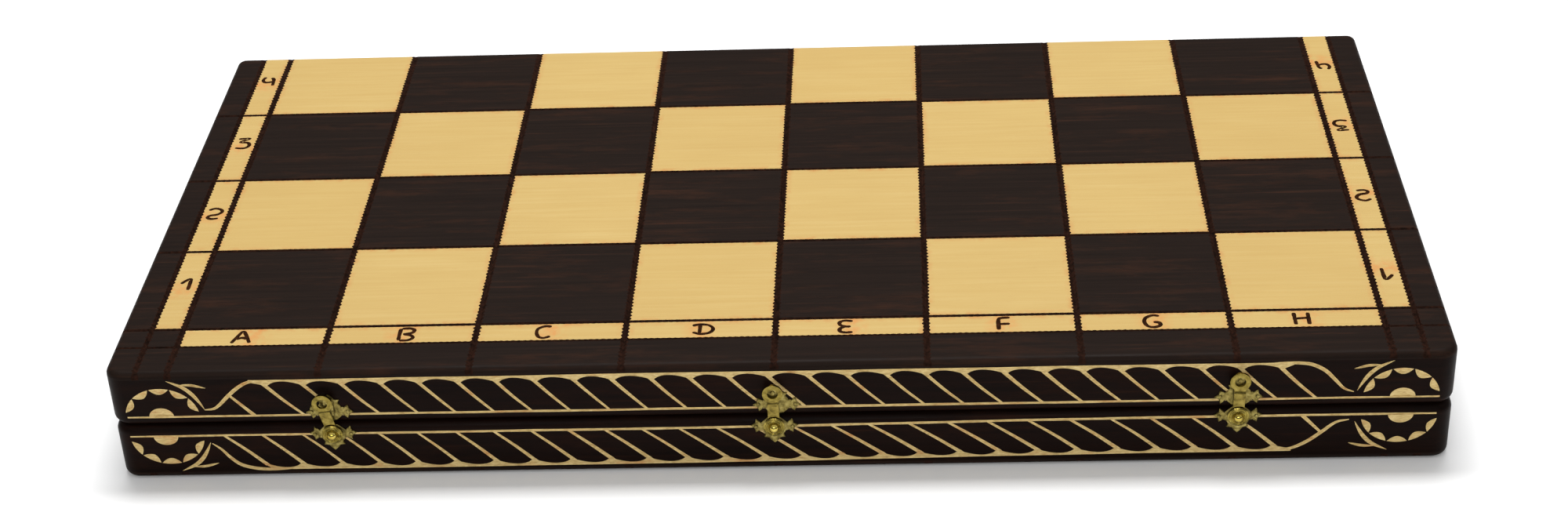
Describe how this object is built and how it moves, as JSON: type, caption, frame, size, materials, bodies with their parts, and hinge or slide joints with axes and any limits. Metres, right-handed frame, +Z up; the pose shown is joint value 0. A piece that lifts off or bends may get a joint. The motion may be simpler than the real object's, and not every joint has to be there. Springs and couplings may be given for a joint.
{
  "type": "folding chess set",
  "caption": "Folding wooden chess case whose two grooved outer faces form the board, with swing latches, back hinges and chessmen packed in a lined tray.",
  "frame": {"origin": "middle of the closed case's bounding footprint, on the surface it lies on", "axes": "+X to the right along the front, +Y from the latches to the hinges, +Z up"},
  "size_m": [0.576, 0.2996, 0.055],
  "materials": {
    "board_face": "stained and burned beech squares under satin lacquer",
    "carved_front": "dark stain cut through to light wood, satin lacquer",
    "stained_rail": "dark stain, satin lacquer",
    "tray_wood": "bare light wood",
    "lining": "green felt",
    "base_felt": "green baize",
    "hinge_brass": "brushed",
    "latch_brass": "aged, polished on the domes",
    "brass_screws": "turned",
    "light_chessmen": "clear satin lacquer",
    "dark_chessmen": "dark stain, satin lacquer"
  },
  "bodies": {
    "lower_case": {"black_base_felts": "base_felt", "black_king": "dark_chessmen", "black_left_bishop": "dark_chessmen", "black_left_knight": "dark_chessmen", "black_left_rook": "dark_chessmen", "black_pawns": "dark_chessmen", "black_queen": "dark_chessmen", "black_right_bishop": "dark_chessmen", "black_right_knight": "dark_chessmen", "black_right_rook": "dark_chessmen", "cross_dividers": "tray_wood", "left_hinge_lower_leaf": "hinge_brass", "left_hinge_pin": "brass_screws", "left_latch_plate": "latch_brass", "left_latch_rivet": "latch_brass", "long_divider": "tray_wood", "lower_back_rail": "stained_rail", "lower_board": "board_face", "lower_felt_lining": "lining", "lower_front_rail": "carved_front", "lower_hinge_screws": "brass_screws", "lower_latch_nails": "latch_brass", "lower_left_rail": "stained_rail", "lower_right_rail": "stained_rail", "middle_latch_plate": "latch_brass", "middle_latch_rivet": "latch_brass", "right_hinge_lower_leaf": "hinge_brass", "right_hinge_pin": "brass_screws", "right_latch_plate": "latch_brass", "right_latch_rivet": "latch_brass", "white_base_felts": "base_felt", "white_king": "light_chessmen", "white_left_bishop": "light_chessmen", "white_left_knight": "light_chessmen", "white_left_rook": "light_chessmen", "white_pawns": "light_chessmen", "white_queen": "light_chessmen", "white_right_bishop": "light_chessmen", "white_right_knight": "light_chessmen", "white_right_rook": "light_chessmen"},
    "upper_case": {"left_hinge_upper_leaf": "hinge_brass", "left_keeper": "latch_brass", "left_keeper_plate": "latch_brass", "middle_keeper": "latch_brass", "middle_keeper_plate": "latch_brass", "right_hinge_upper_leaf": "hinge_brass", "right_keeper": "latch_brass", "right_keeper_plate": "latch_brass", "upper_back_rail": "stained_rail", "upper_board": "board_face", "upper_felt_lining": "lining", "upper_front_rail": "carved_front", "upper_hinge_screws": "brass_screws", "upper_latch_nails": "latch_brass", "upper_left_rail": "stained_rail", "upper_right_rail": "stained_rail"},
    "left_latch_arm": {"left_latch_arm": "latch_brass"},
    "middle_latch_arm": {"middle_latch_arm": "latch_brass"},
    "right_latch_arm": {"right_latch_arm": "latch_brass"}
  },
  "joints": [
    {"name": "lid_hinge", "type": "hinge", "parent": "lower_case", "child": "upper_case", "pos_m": [0, 0.14735, 0.0275], "axis": [-1, 0, 0], "range_deg": [0, 180]},
    {"name": "left_latch_pivot", "type": "hinge", "parent": "lower_case", "child": "left_latch_arm", "pos_m": [-0.192, -0.14485, 0.0235], "axis": [0, -1, 0], "range_deg": [-7.6, 47]},
    {"name": "middle_latch_pivot", "type": "hinge", "parent": "lower_case", "child": "middle_latch_arm", "pos_m": [-0.001, -0.14485, 0.0237], "axis": [0, -1, 0], "range_deg": [0, 60]},
    {"name": "right_latch_pivot", "type": "hinge", "parent": "lower_case", "child": "right_latch_arm", "pos_m": [0.1965, -0.14485, 0.0252], "axis": [0, -1, 0], "range_deg": [0, 60]}
  ]
}
